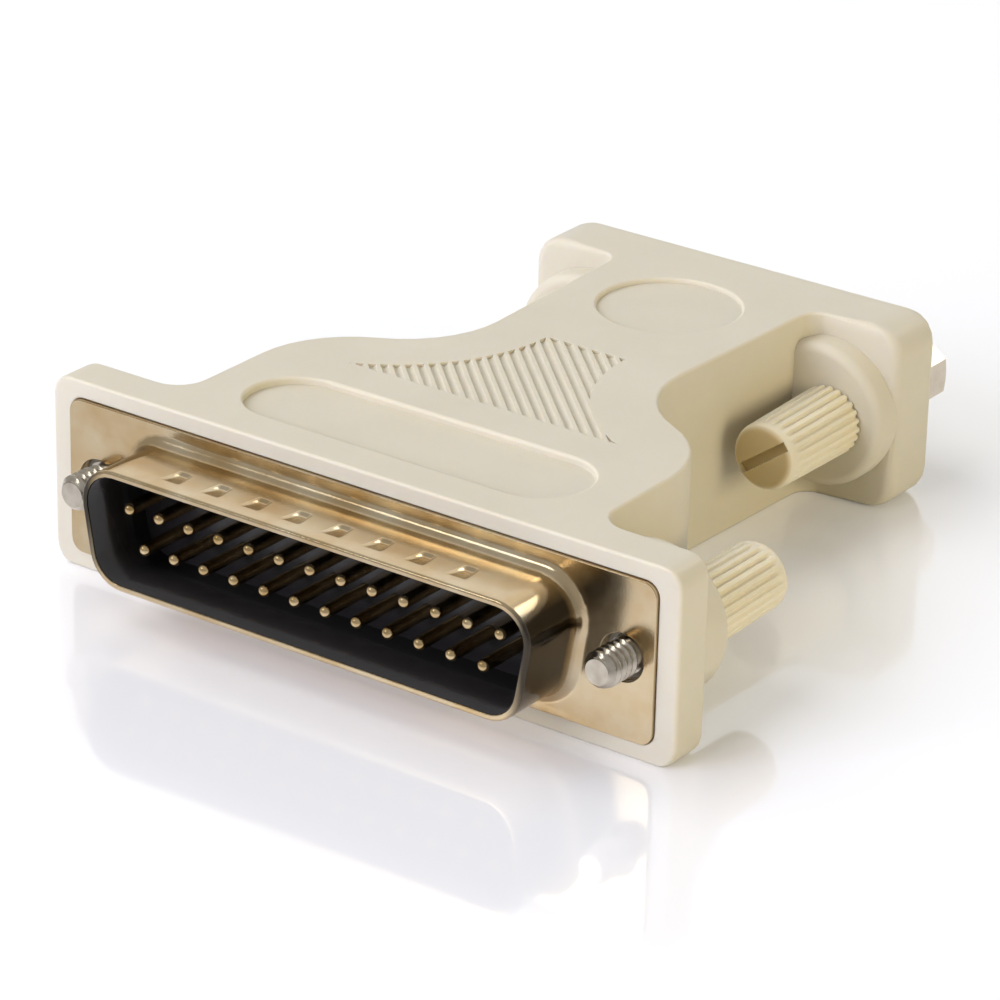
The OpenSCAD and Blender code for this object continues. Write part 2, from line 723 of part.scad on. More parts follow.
// Wire to one contact of the socket
module wire(i) {
    w = WIRES[i - 1];
    from = pin_place(w[0]);
    to = socket_place(i);
    lane = w[1] * lane_pitch;
    path = [for (j = [0:WIRE_RINGS])
        wire_point(from, to, lane, run_start_y + (run_end_y - run_start_y) * j / WIRE_RINGS)];
    rings = [for (j = [0:WIRE_RINGS])
        let (
            t = path[min(j + 1, WIRE_RINGS)] - path[max(j - 1, 0)],
            side = cross(t, [0, 0, 1]) / norm(cross(t, [0, 0, 1])),
            up = cross(side, t) / norm(t)
        )
        [for (k = [0:WIRE_SIDES - 1]) let (a = 360 * k / WIRE_SIDES)
            path[j] + wire_d / 2 * (cos(a) * side + sin(a) * up)]];
    last = WIRE_RINGS * WIRE_SIDES;
    in_place() color(w[2]) polyhedron(
        points = [for (ring = rings) for (p = ring) p],
        faces = concat(
            [[for (k = [0:WIRE_SIDES - 1]) k], [for (k = [WIRE_SIDES - 1:-1:0]) last + k]],
            [for (j = [0:WIRE_RINGS - 1]) for (k = [0:WIRE_SIDES - 1]) let (n = (k + 1) % WIRE_SIDES)
                each [[j * WIRE_SIDES + k, (j + 1) * WIRE_SIDES + k, (j + 1) * WIRE_SIDES + n],
                    [j * WIRE_SIDES + k, (j + 1) * WIRE_SIDES + n, j * WIRE_SIDES + n]]]
        )
    );
}

// Knob of a thumbscrew, its inner face at y = knob_gap and its slotted end towards +y
module knob(turn) {
    end_y = knob_gap + knob_len;
    bend = [for (i = [0:EDGE]) let (a = 90 * i / EDGE)
        [knob_end_d / 2 - knob_bevel * (1 - cos(a)), end_y - knob_bevel * (1 - sin(a))]];
    color(KNOB) rotate([0, turn, 0]) difference() {
        turned(concat([[0, knob_gap], [knob_d / 2, knob_gap]], bend, [[0, end_y]]));
        for (i = [0:knob_flutes - 1]) rotate([0, i * 360 / knob_flutes, 0])
            translate([knob_d / 2 + flute_w * FLUTE_OUT, 0, 0]) rod(flute_w / 2, 0, end_y + EPS);
        rod(screw_r + seat_gap, 0, knob_gap + screw_hold + seat_gap);
        translate([-knob_d, end_y - slot_depth, -slot_w / 2]) cube([2 * knob_d, 2 * slot_depth, slot_w]);
    }
}

// Screw of a thumbscrew: thread from its tip to the plate's face, relief, and shank into the knob
module screw(face, reach) {
    r = relief_d / 2;
    tip = -face - reach;
    end = knob_gap + screw_hold;
    color(STEEL) turned([[0, tip], [screw_r - screw_bevel, tip], [screw_r, tip + screw_bevel],
        [screw_r, -face], [r, -face], [r, relief_len - face], [screw_r, relief_len - face],
        [screw_r, end], [0, end]]);
}

// From a thumbscrew's own frame to the front flange
module at_front(side) {
    in_place() translate([side * plug_span / 2, front_boss_y, 0]) children();
}

// From a thumbscrew's own frame to the rear flange
module at_rear(side) {
    in_place() translate([side * socket_span / 2, rear_boss_y, 0]) rotate(180) children();
}

module front_left_knob() { at_front(-1) knob(SLOT_TURNS[0]); }
module front_left_screw() { at_front(-1) screw(front_boss_y, front_reach); }
module front_right_knob() { at_front(1) knob(SLOT_TURNS[1]); }
module front_right_screw() { at_front(1) screw(front_boss_y, front_reach); }
module rear_left_knob() { at_rear(-1) knob(SLOT_TURNS[2]); }
module rear_left_screw() { at_rear(-1) screw(rear_face, nut_grip); }
module rear_right_knob() { at_rear(1) knob(SLOT_TURNS[3]); }
module rear_right_screw() { at_rear(1) screw(rear_face, nut_grip); }

// Hexagonal jack nut against the socket's plate
module jack_nut(side) {
    corner_r = nut_flats / sqrt(3);
    in_place() translate([side * socket_span / 2, socket_y, 0]) color(STEEL) difference() {
        rotate([-90, 0, 0]) rotate(30) cylinder(r = corner_r, h = nut_len, $fn = 6);
        turned([[corner_r - nut_bevel, nut_len + EPS], [corner_r + nut_bevel, nut_len + EPS],
            [corner_r + nut_bevel, nut_len - 2 * nut_bevel / sqrt(3)]]);
        rod(screw_hole_r, -EPS, nut_grip + 2 * turn_gap);
        rod(nut_bore_d / 2, 0, nut_len + EPS);
    }
}

module left_jack_nut() { jack_nut(-1); }
module right_jack_nut() { jack_nut(1); }

housing();
plug_front_shell();
plug_rear_shell();
plug_front_insulator();
plug_rear_insulator();
plug_pins();
socket_front_shell();
socket_rear_shell();
socket_front_insulator();
socket_rear_insulator();
socket_contacts();
wire(1);  // carrier_detect_wire
wire(2);  // receive_data_wire
wire(3);  // transmit_data_wire
wire(4);  // terminal_ready_wire
wire(5);  // signal_ground_wire
wire(6);  // data_set_ready_wire
wire(7);  // request_to_send_wire
wire(8);  // clear_to_send_wire
wire(9);  // ring_indicator_wire
front_left_knob();
front_left_screw();
front_right_knob();
front_right_screw();
rear_left_knob();
rear_left_screw();
rear_right_knob();
rear_right_screw();
left_jack_nut();
right_jack_nut();
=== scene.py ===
# %% [markdown]
# # A moulded serial adapter, dressed for a studio picture
# The solids of this adapter come from its CAD model: a moulded body, two connectors, four thumbscrews
# and the wiring inside. This lesson gives each of them the surface of the real thing.
# The CAD model stays as it is. A piece that needs softer edges or finer detail gets a mesh of its own,
# which takes the place of the solid.

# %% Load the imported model
import json
import math
import bmesh
import bpy
from mathutils import Matrix, Vector


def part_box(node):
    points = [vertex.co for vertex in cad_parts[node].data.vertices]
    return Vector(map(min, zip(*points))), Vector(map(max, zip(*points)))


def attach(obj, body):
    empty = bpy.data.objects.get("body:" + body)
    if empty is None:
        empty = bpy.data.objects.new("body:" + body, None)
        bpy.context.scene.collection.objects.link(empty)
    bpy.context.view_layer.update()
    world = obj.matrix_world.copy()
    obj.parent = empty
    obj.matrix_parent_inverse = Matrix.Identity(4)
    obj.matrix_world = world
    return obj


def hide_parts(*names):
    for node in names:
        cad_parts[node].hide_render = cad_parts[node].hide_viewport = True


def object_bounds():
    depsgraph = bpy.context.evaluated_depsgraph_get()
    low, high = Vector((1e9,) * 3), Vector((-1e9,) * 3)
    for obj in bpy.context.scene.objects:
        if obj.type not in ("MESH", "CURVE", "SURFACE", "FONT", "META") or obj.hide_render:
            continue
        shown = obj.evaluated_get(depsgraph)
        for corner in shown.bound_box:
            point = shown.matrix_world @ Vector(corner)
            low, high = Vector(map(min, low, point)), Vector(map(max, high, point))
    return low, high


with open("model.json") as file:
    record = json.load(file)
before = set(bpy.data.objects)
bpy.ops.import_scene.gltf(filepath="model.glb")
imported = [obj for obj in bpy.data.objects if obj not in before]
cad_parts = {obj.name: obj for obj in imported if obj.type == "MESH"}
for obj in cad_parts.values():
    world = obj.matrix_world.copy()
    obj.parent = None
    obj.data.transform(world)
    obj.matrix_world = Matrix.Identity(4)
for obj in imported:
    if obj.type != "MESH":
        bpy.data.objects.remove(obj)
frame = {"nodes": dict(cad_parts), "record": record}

MM = 0.001
cad_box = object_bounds()
record = frame["record"]
mounts = {mount["name"]: mount["pos_m"] for mount in record["mounts"]}
slots = {part["node"]: part["material_slot"] for part in record["subparts"]}
body_of = {node: body for body, nodes in record["behaviour"]["bodies"].items() for node in nodes}
plug_middle = Vector(mounts["plug"])
scene = bpy.context.scene
scene.view_settings.view_transform = "Standard"
print(len(frame["nodes"]), "nodes, plug's middle at", [round(v, 5) for v in plug_middle])

# %% [markdown]
# ## Camera
# The picture was taken from the plug's end, a little to the right and from above, with a long lens.
# A camera can be placed by hand in the viewport. Here its angles, distance and lens were found by matching
# the pins and the outline, so it is written as an aim point, three angles and a distance.
# The aim point is given from the middle of the plug's face, along the picture's right and up.

# %% Put the camera in place
azimuth = math.radians(35.38)
elevation = math.radians(24.23)
roll = math.radians(1.385)
distance = 323.94 * MM
aim_right = 10.70 * MM
aim_up = 4.75 * MM
sensor = 36.0
lens_per_sensor = 4.543
nearest_seen = 10 * MM

back = Vector((
    math.sin(azimuth) * math.cos(elevation),
    -math.cos(azimuth) * math.cos(elevation),
    math.sin(elevation),
))
level = Vector((math.cos(azimuth), math.sin(azimuth), 0))
steep = back.cross(level)
right = math.cos(roll) * level + math.sin(roll) * steep
up = math.cos(roll) * steep - math.sin(roll) * level
aim = plug_middle + aim_right * right + aim_up * up

camera = bpy.data.objects.new("camera", bpy.data.cameras.new("camera"))
camera.data.sensor_width = sensor
camera.data.lens = lens_per_sensor * sensor
camera.data.clip_start = nearest_seen
axes = Matrix((right, up, back)).transposed().to_4x4()
camera.matrix_world = Matrix.Translation(aim + distance * back) @ axes
scene.collection.objects.link(camera)
scene.camera = camera
camera_place = [round(v, 4) for v in camera.matrix_world.translation]
print("camera at", camera_place, "lens", round(camera.data.lens, 1))

# %% [markdown]
# ## Colours and nodes
# Colours are written as they look on a screen, as hex values, and turned to the linear values that
# the renderer counts with. One small function adds a node to a material, sets it up and links it.
# A mix node has several sockets of the same name, so the colour ones are picked by their numbers.

# %% Helpers for colours and nodes
MIX_FIRST = 6
MIX_SECOND = 7
MIX_RESULT = 2


def linear(code):
    """Linear colour of a hex value, by the standard curve of a screen."""
    channels = [int(code[i:i + 2], 16) / 255 for i in (1, 3, 5)]
    light = [c / 12.92 if c <= 0.04045 else ((c + 0.055) / 1.055) ** 2.4 for c in channels]
    return (*light, 1.0)


def add_node(tree, kind, inputs=None, **settings):
    node = tree.nodes.new(kind)
    for name, value in settings.items():
        setattr(node, name, value)
    for socket, value in (inputs or {}).items():
        if isinstance(value, bpy.types.NodeSocket):
            tree.links.new(value, node.inputs[socket])
        else:
            node.inputs[socket].default_value = value
    return node


def new_material(name):
    material = bpy.data.materials.new(name)
    material.use_nodes = True
    material.node_tree.nodes.clear()
    return material, material.node_tree


def per_size(size_mm):
    """Scale of a noise whose grains are about this many millimetres wide."""
    return 1 / (size_mm * MM)


print("a mid grey of #808080 is", round(linear("#808080")[0], 3), "in linear light")

# %% [markdown]
# ## White table
# The adapter lies on a white acrylic sheet. Its polished skin shows a pale mirror image of the adapter,
# which a clear coat over a white base gives.
# The table is lifted to white for the eye of the camera alone, so no extra light falls on the adapter.

# %% Lay the table
table_half = 3.0
table_glow = 0.1
quarters = ((-1, -1), (1, -1), (1, 1), (-1, 1))
table_mesh = bpy.data.meshes.new("table")
table_mesh.from_pydata([(x * table_half, y * table_half, 0) for x, y in quarters], [], [(0, 1, 2, 3)])
table = bpy.data.objects.new("table", table_mesh)
scene.collection.objects.link(table)

# Cast acrylic with a polished skin: white, with a soft mirror image close to what stands on it.
acrylic, tree = new_material("white_acrylic_sheet")
path = add_node(tree, "ShaderNodeLightPath")
sheet = add_node(tree, "ShaderNodeBsdfPrincipled", {
    "Base Color": linear("#FBFBFB"), "Roughness": 0.2, "IOR": 1.49,
    "Coat Weight": 1.0, "Coat Roughness": 0.05, "Coat IOR": 1.8,
})
glow_share = add_node(tree, "ShaderNodeMath", {
    0: path.outputs["Is Camera Ray"], 1: table_glow,
}, operation="MULTIPLY")
glow = add_node(tree, "ShaderNodeEmission", {
    "Color": linear("#FFFFFF"), "Strength": glow_share.outputs[0],
})
both = add_node(tree, "ShaderNodeAddShader", {0: sheet.outputs[0], 1: glow.outputs[0]})
add_node(tree, "ShaderNodeOutputMaterial", {"Surface": both.outputs[0]})
table_mesh.materials.append(acrylic)
print("table", 2 * table_half, "m wide")

# %% [markdown]
# ## Studio light
# Soft light from all round could come from the world alone, but then the metal would look flat.
# So the world lights the adapter weakly, and the camera and shiny surfaces see a white backdrop in its
# place. The backdrop is brightest behind the adapter and grey in front, so metal has light and dark to show.
# Three large lamps give the front, the top and the right side their tone, and mirrors don't see them.
# Two small lamps do the opposite: they only put sparks on shiny edges.

# %% World and backdrop
ambient_strength = 0.26
backdrop_front_y = -0.1
backdrop_back_y = 0.7
backdrop_front_strength = 0.42
backdrop_back_strength = 1.0

world = bpy.data.worlds.new("studio")
world.use_nodes = True
scene.world = world
tree = world.node_tree
tree.nodes.clear()
path = add_node(tree, "ShaderNodeLightPath")
mirrored = add_node(tree, "ShaderNodeMath", {
    0: path.outputs["Is Glossy Ray"], 1: path.outputs["Is Transmission Ray"],
}, operation="MAXIMUM")
seen = add_node(tree, "ShaderNodeMath", {
    0: path.outputs["Is Camera Ray"], 1: mirrored.outputs[0],
}, operation="MAXIMUM")
towards = add_node(tree, "ShaderNodeTexCoord").outputs["Generated"]
behind = add_node(tree, "ShaderNodeSeparateXYZ", {0: towards}).outputs["Y"]
backdrop_light = add_node(tree, "ShaderNodeMapRange", {
    "Value": behind, "From Min": backdrop_front_y, "From Max": backdrop_back_y,
    "To Min": backdrop_front_strength, "To Max": backdrop_back_strength,
})
ambient = add_node(tree, "ShaderNodeBackground", {
    "Color": linear("#FBFCFF"), "Strength": ambient_strength,
})
backdrop = add_node(tree, "ShaderNodeBackground", {
    "Color": linear("#FFFFFF"), "Strength": backdrop_light.outputs[0],
})
either = add_node(tree, "ShaderNodeMixShader", {
    0: seen.outputs[0], 1: ambient.outputs[0], 2: backdrop.outputs[0],
})
add_node(tree, "ShaderNodeOutputWorld", {"Surface": either.outputs[0]})
print("world of", len(tree.nodes), "nodes")

# %% Lamps
lamp_distance = 0.9
adapter_middle = (Vector(cad_box[0]) + Vector(cad_box[1])) / 2

# name, direction from the adapter, side in metres, watts, colour
soft_boxes = (
    ("front_box", (-0.35, -1.0, 0.4), 0.7, 8.6, "#E4E6FF"),
    ("top_box", (-0.75, -0.15, 1.0), 0.8, 4.6, "#FFFFFF"),
    ("right_box", (1.0, -0.1, 0.2), 0.5, 4.2, "#FFF0CC"),
)
sparks = (
    ("back_spark", (0.27, 0.75, 0.6), 0.3, 1.0, "#FFFFFF"),
    ("front_spark", (-0.45, -0.75, 0.55), 0.16, 0.38, "#FFFFFF"),
)


def square_lamp(name, direction, side, power, colour):
    lamp = bpy.data.objects.new(name, bpy.data.lights.new(name, "AREA"))
    lamp.data.shape = "SQUARE"
    lamp.data.size = side
    lamp.data.energy = power
    lamp.data.color = linear(colour)[:3]
    away = Vector(direction).normalized()
    facing = away.to_track_quat("Z", "Y").to_matrix().to_4x4()
    lamp.matrix_world = Matrix.Translation(adapter_middle + lamp_distance * away) @ facing
    scene.collection.objects.link(lamp)
    return lamp


for lamp in soft_boxes:
    square_lamp(*lamp).visible_glossy = False
for lamp in sparks:
    square_lamp(*lamp).visible_diffuse = False

# %% [markdown]
# ## Moulded plastics
# The body is soft PVC, injected round the wired connectors in one shot. The tool's surface was finely
# spark eroded, so the skin is a satin beige with a grain that is only just seen, and light goes a little
# way into it. One flat colour would look like paint: two beiges mixed by a wide noise keep the large faces
# alive, and a fine noise moves the gloss and the bump together.
# The knobs are nylon of a yellower tone. Their slotted ends get a browner painted shade: a third tone is
# mixed in where the surface faces along the adapter.

# %% Recipe of a moulded plastic
tone_cloud_mm = 6.0
gloss_spread = 0.06
plastic_ior = 1.53
scatter_share_rgb = (1.0, 0.7, 0.35)
scatter_reach = 0.7 * MM
end_shade_begins = 0.55
end_shade_full = 0.95


def moulded_plastic(name, light, dark, roughness, grain_mm, grain_height_mm, scatter=0.0, painted_end_shade=None):
    material, tree = new_material(name)
    place = add_node(tree, "ShaderNodeTexCoord").outputs["Object"]
    cloud = add_node(tree, "ShaderNodeTexNoise", {
        "Vector": place, "Scale": per_size(tone_cloud_mm), "Detail": 3.0,
    })
    tone = add_node(tree, "ShaderNodeMix", {
        "Factor": cloud.outputs["Fac"], MIX_FIRST: linear(dark), MIX_SECOND: linear(light),
    }, data_type="RGBA")
    # Painted shade: a browner tone where the surface faces along the adapter, as on the knobs' ends.
    if painted_end_shade:
        facing = add_node(tree, "ShaderNodeNewGeometry").outputs["Normal"]
        along = add_node(tree, "ShaderNodeSeparateXYZ", {0: facing}).outputs["Y"]
        square_on = add_node(tree, "ShaderNodeMath", {0: along}, operation="ABSOLUTE")
        painted_dark_share = add_node(tree, "ShaderNodeMapRange", {
            "Value": square_on.outputs[0], "From Min": end_shade_begins, "From Max": end_shade_full,
        })
        tone = add_node(tree, "ShaderNodeMix", {
            "Factor": painted_dark_share.outputs[0],
            MIX_FIRST: tone.outputs[MIX_RESULT], MIX_SECOND: linear(painted_end_shade),
        }, data_type="RGBA")
    grain = add_node(tree, "ShaderNodeTexNoise", {
        "Vector": place, "Scale": per_size(grain_mm), "Detail": 2.0,
    })
    gloss = add_node(tree, "ShaderNodeMapRange", {
        "Value": grain.outputs["Fac"],
        "To Min": roughness - gloss_spread, "To Max": roughness + gloss_spread,
    })
    bump = add_node(tree, "ShaderNodeBump", {
        "Height": grain.outputs["Fac"], "Strength": 1.0, "Distance": grain_height_mm * MM,
    })
    skin = add_node(tree, "ShaderNodeBsdfPrincipled", {
        "Base Color": tone.outputs[MIX_RESULT], "Roughness": gloss.outputs[0],
        "IOR": plastic_ior, "Normal": bump.outputs[0], "Subsurface Weight": scatter,
        "Subsurface Radius": scatter_share_rgb, "Subsurface Scale": scatter_reach,
    })
    add_node(tree, "ShaderNodeOutputMaterial", {"Surface": skin.outputs[0]})
    return material


print("plastics refract light by", plastic_ior, "and scatter it over", scatter_reach / MM, "mm")

# %% Beige PVC and ivory nylon
# Soft PVC from a spark eroded tool: a satin, faintly cloudy beige without sharp highlights.
# The real grain is about 0.05 mm, finer than a pixel, so it is drawn 0.22 mm wide to show.
beige_pvc = moulded_plastic(
    "moulded_beige_pvc", light="#DDD5BF", dark="#D4CCB4", roughness=0.45,
    grain_mm=0.22, grain_height_mm=0.006, scatter=0.3,
)
# Nylon from a smoother tool: a warmer tone and slightly brighter edges. Its grain is drawn coarse too, and
# its ends get a browner painted shade.
ivory_nylon = moulded_plastic(
    "moulded_ivory_nylon", light="#EEE5CB", dark="#E5DABA", roughness=0.42,
    grain_mm=0.18, grain_height_mm=0.004, scatter=0.25, painted_end_shade="#C0AA78",
)
print("plastics", beige_pvc.name, ivory_nylon.name)

# %% [markdown]
# ## Plated metals
# The shells are drawn from steel sheet and plated bright, with patches that lean to silver or to gold.
# Round the collar's two ends the tone is darkened further, as a painted dark reflection.
# The screws are zinc plated steel, the nuts nickel plated brass, and the contacts have a flash of gold.
# All four share one recipe: a metal keeps its default IOR, a cloudy noise moves its tone and its gloss,
# and a fine noise roughens it just enough to break up the reflections.

# %% Painted dark reflection on the ends of the drawn collar
# A painted dark reflection: the collar's two ends are mixed towards this tone.
painted_reflection_tone = "#4E483F"
dark_reflection_begins = 18.0 * MM
dark_reflection_full = 19.4 * MM
collar_begins = 0.2 * MM
collar_full = 1.2 * MM


def painted_reflection_share(tree, place):
    """Share of the painted dark reflection: 1 on the collar's two ends, and 0 between them and on the plate.
    """
    xyz = add_node(tree, "ShaderNodeSeparateXYZ", {0: place})
    sideways = add_node(tree, "ShaderNodeMath", {0: xyz.outputs["X"]}, operation="ABSOLUTE")
    painted_dark_share = add_node(tree, "ShaderNodeMapRange", {
        "Value": sideways.outputs[0], "From Min": dark_reflection_begins, "From Max": dark_reflection_full,
    })
    on_collar = add_node(tree, "ShaderNodeMapRange", {
        "Value": xyz.outputs["Y"],
        "From Min": plug_middle.y - collar_begins, "From Max": plug_middle.y - collar_full,
    })
    return add_node(tree, "ShaderNodeMath", {
        0: painted_dark_share.outputs[0], 1: on_collar.outputs[0],
    }, operation="MULTIPLY").outputs[0]


print("collar darkens from", dark_reflection_begins / MM, "mm beside its middle")

# %% Recipe of a plated metal
patch_low = 0.28
patch_high = 0.72
# The crystals of a plating are far finer than a pixel, so the specks are drawn 0.14 mm wide to show.
speck_mm = 0.14


def plated_metal(name, light, dark, roughness, spread, cloud_mm, speck_height_mm, drawn=False):
    material, tree = new_material(name)
    place = add_node(tree, "ShaderNodeTexCoord").outputs["Object"]
    cloud = add_node(tree, "ShaderNodeTexNoise", {
        "Vector": place, "Scale": per_size(cloud_mm), "Detail": 5.0,
    })
    patch = add_node(tree, "ShaderNodeMapRange", {
        "Value": cloud.outputs["Fac"], "From Min": patch_low, "From Max": patch_high,
    })
    tone = add_node(tree, "ShaderNodeMix", {
        "Factor": patch.outputs[0], MIX_FIRST: linear(dark), MIX_SECOND: linear(light),
    }, data_type="RGBA")
    # Painted dark reflection on the collar's two ends.
    if drawn:
        tone = add_node(tree, "ShaderNodeMix", {
            "Factor": painted_reflection_share(tree, place),
            MIX_FIRST: tone.outputs[MIX_RESULT], MIX_SECOND: linear(painted_reflection_tone),
        }, data_type="RGBA")
    gloss = add_node(tree, "ShaderNodeMapRange", {
        "Value": patch.outputs[0], "To Min": roughness - spread, "To Max": roughness + spread,
    })
    speck = add_node(tree, "ShaderNodeTexNoise", {
        "Vector": place, "Scale": per_size(speck_mm), "Detail": 3.0,
    })
    bump = add_node(tree, "ShaderNodeBump", {
        "Height": speck.outputs["Fac"], "Strength": 1.0, "Distance": speck_height_mm * MM,
    })
    skin = add_node(tree, "ShaderNodeBsdfPrincipled", {
        "Base Color": tone.outputs[MIX_RESULT], "Metallic": 1.0,
        "Roughness": gloss.outputs[0], "Normal": bump.outputs[0],
    })
    add_node(tree, "ShaderNodeOutputMaterial", {"Surface": skin.outputs[0]})
    return material


print("plating specks drawn", speck_mm, "mm wide")

# %% Four platings
# Drawn and plated steel: clear reflections with soft borders, tan with paler patches, and a painted dark
# reflection on the collar's ends.
shell_plating = plated_metal(
    "tan_plated_steel", light="#DDCDAE", dark="#C6A97B", roughness=0.16, spread=0.07,
    cloud_mm=4.0, speck_height_mm=0.004, drawn=True,
)
# Zinc on rolled threads: greyer and duller than the shells, and bright on the crests.
screw_zinc = plated_metal(
    "zinc_plated_screw_steel", light="#DAD2C4", dark="#B3A999", roughness=0.2, spread=0.06,
    cloud_mm=1.2, speck_height_mm=0.0012,
)
# Nickel on turned brass: a warm, even silver.
nut_nickel = plated_metal(
    "nickel_plated_brass_nut", light="#DDD1BE", dark="#CDC0AB", roughness=0.22, spread=0.05,
    cloud_mm=1.2, speck_height_mm=0.0012,
)
# A flash of gold on turned pins: the smoothest of the four, with small warm highlights.
contact_gold = plated_metal(
    "gold_flashed_contact", light="#E6CFA4", dark="#B8975F", roughness=0.11, spread=0.05,
    cloud_mm=0.8, speck_height_mm=0.0008,
)
print("metals", [metal.name for metal in (shell_plating, screw_zinc, nut_nickel, contact_gold)])

# %% [markdown]
# ## Insulators and wires
# The insulators are black glass filled polyester, smooth from the tool. The wires have extruded PVC
# insulation in the usual order of colours. Both are shiny, so small changes of gloss show more than colour,
# and the recipe of the other plastics serves with a smoother skin.

# %% Black polyester and wire colours
# Polyester from a polished tool: nearly black, with a soft shine along the walls. Its glass fibres are
# finer than a pixel, so the unevenness that they give the skin is drawn 0.3 mm wide to show.
black_polyester = moulded_plastic(
    "moulded_black_polyester", light="#2A2826", dark="#1F1D1C", roughness=0.2,
    grain_mm=0.3, grain_height_mm=0.003,
)
wire_colours = {
    "wire_black": ("#26262A", "#19191C"),
    "wire_brown": ("#855330", "#6E4226"),
    "wire_red": ("#C23A31", "#A82B24"),
    "wire_orange": ("#E0833A", "#CB6A22"),
    "wire_yellow": ("#E4CB4A", "#D0B52F"),
    "wire_green": ("#47964F", "#357A3F"),
    "wire_blue": ("#3869B4", "#28539A"),
    "wire_violet": ("#86549E", "#6F4187"),
    "wire_grey": ("#96989B", "#7E8083"),
}
finish = {
    "beige_pvc": beige_pvc, "knob_plastic": ivory_nylon, "plated_shell": shell_plating,
    "plain_steel": screw_zinc, "gold_contact": contact_gold, "black_insulator": black_polyester,
}
# Extruded PVC insulation: even colours with a low, smooth shine. Its grain is drawn coarse too.
for slot, (light, dark) in wire_colours.items():
    finish[slot] = moulded_plastic(
        slot + "_insulation", light, dark, roughness=0.34, grain_mm=0.25, grain_height_mm=0.002,
    )
print(len(finish), "finishes")

# %% [markdown]
# ## Softer copies of the solids
# A solid from CAD comes as triangles with hard shading. A copy is welded, its flat triangles are joined,
# and its edges get a small round, because every real edge catches a thin line of light.
# A bevel by edge weight rounds only the edges that are picked, so curved walls stay as they are.
# The copy keeps the form of the solid and stands in its place.

# %% Put a mesh in the place of a solid
def finish_of(node):
    """The nuts share the screws' slot, but they are nickel plated."""
    return nut_nickel if node.endswith("_jack_nut") else finish[slots[node]]


def stand_in(node, mesh):
    """A piece that takes the place of a CAD node, on the same body."""
    piece = bpy.data.objects.new(mesh.name, mesh)
    scene.collection.objects.link(piece)
    mesh.materials.clear()
    mesh.materials.append(finish_of(node))
    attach(piece, body_of[node])
    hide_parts(node)
    return piece


print("the nuts get", finish_of("left_jack_nut").name)

# %% Copy a solid with soft edges
WELD = 0.0005 * MM
flat_deg = 0.4
sharp_deg = 38
round_steps = 3


def soft_copy(node, round_mm, is_soft=None, reshape=None):
    source = frame["nodes"][node].data
    mesh = bpy.data.meshes.new(node + "_skin")
    mesh.from_pydata([v.co for v in source.vertices], [], [p.vertices[:] for p in source.polygons])
    bm = bmesh.new()
    bm.from_mesh(mesh)
    bmesh.ops.remove_doubles(bm, verts=bm.verts, dist=WELD)
    bmesh.ops.dissolve_degenerate(bm, dist=WELD, edges=bm.edges)
    bmesh.ops.dissolve_limit(bm, angle_limit=math.radians(flat_deg), verts=bm.verts, edges=bm.edges)
    if reshape:
        reshape(bm)
    weight = bm.edges.layers.float.new("bevel_weight_edge")
    for edge in bm.edges:
        edge.smooth = len(edge.link_faces) == 2 and edge.calc_face_angle(0) < math.radians(sharp_deg)
        if not edge.smooth:
            edge[weight] = is_soft(edge) if is_soft else 1.0
    for face in bm.faces:
        face.smooth = True
    bm.to_mesh(mesh)
    bm.free()
    piece = stand_in(node, mesh)
    bevel = piece.modifiers.new("round", "BEVEL")
    bevel.limit_method = "WEIGHT"
    bevel.width = round_mm * MM
    bevel.segments = round_steps
    bevel.harden_normals = True
    shade = piece.modifiers.new("flat_faces_stay_flat", "WEIGHTED_NORMAL")
    shade.keep_sharp = True
    return piece


print("edges over", sharp_deg, "degrees are rounded in", round_steps, "steps")

# %% [markdown]
# ## Body
# The moulded body has soft rims round the marks on its top and a finer round on its two end faces.
# Its large curves are already in the solid, so only those rims are picked for the bevel.
# The grooves of the grip stay crisp, as a bevel on so many small edges would wash them out.

# %% Body with soft rims
rim_mm = 0.3
end_face_share = 0.5
grip_begins_mm = 14.9
grip_ends_mm = 29.6
body_low, body_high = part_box("housing")


def body_rim(edge):
    """Share of the round that an edge of the body gets."""
    ends = [v.co for v in edge.verts]
    on_top = all(body_high.z - v.z < WELD for v in ends)
    behind_plug_mm = (ends[0].y - plug_middle.y) / MM
    if on_top and not grip_begins_mm < behind_plug_mm < grip_ends_mm:
        return 1.0
    on_end = any(all(abs(v.y - face) < WELD for v in ends) for face in (body_low.y, body_high.y))
    return end_face_share if on_end else 0.0


body = soft_copy("housing", rim_mm, body_rim)
print("body", len(body.data.polygons), "faces")

# %% [markdown]
# ## Pressed dimples
# The collar's dimples are struck by a small punch, and sheet metal leaves a punch with soft walls.
# The solid has them as sharp wedges. A bump map could soften them to the eye, but not in the mesh.
# So each wedge's faces are taken out of the copy, and rings of points are drawn from its outline to its
# middle, let down to the depth that a punch would leave.

# %% Depth of a dimple
dimple_back_y = -2.65 * MM
dimple_len = 2.1 * MM
dimple_back_w = 1.3 * MM
dimple_flare = 0.3 * MM
dimple_depth = 0.3 * MM
side_wall = 0.42 * MM
back_wall = 0.45 * MM


def clamp(t):
    return max(0.0, min(1.0, t))


def ease(t):
    """A soft step from 0 to 1."""
    t = clamp(t)
    return t * t * (3 - 2 * t)


def depth_at(x, y):
    """Depth of a dimple, x from its own middle and y from the plug's face."""
    forward = clamp((dimple_back_y - y) / dimple_len)
    half = dimple_back_w / 2 + dimple_flare * forward
    from_sides = ease((half - abs(x)) / side_wall)
    from_back = ease(forward * dimple_len / back_wall)
    return dimple_depth * (1 - forward) * from_sides * from_back


print("dimple", round(depth_at(0, dimple_back_y - back_wall) / MM, 2), "mm deep before its back wall")

# %% Find the wedges
dimple_row_half = 14.5 * MM
level_face = 0.9999
dimple_front_y = dimple_back_y - dimple_len


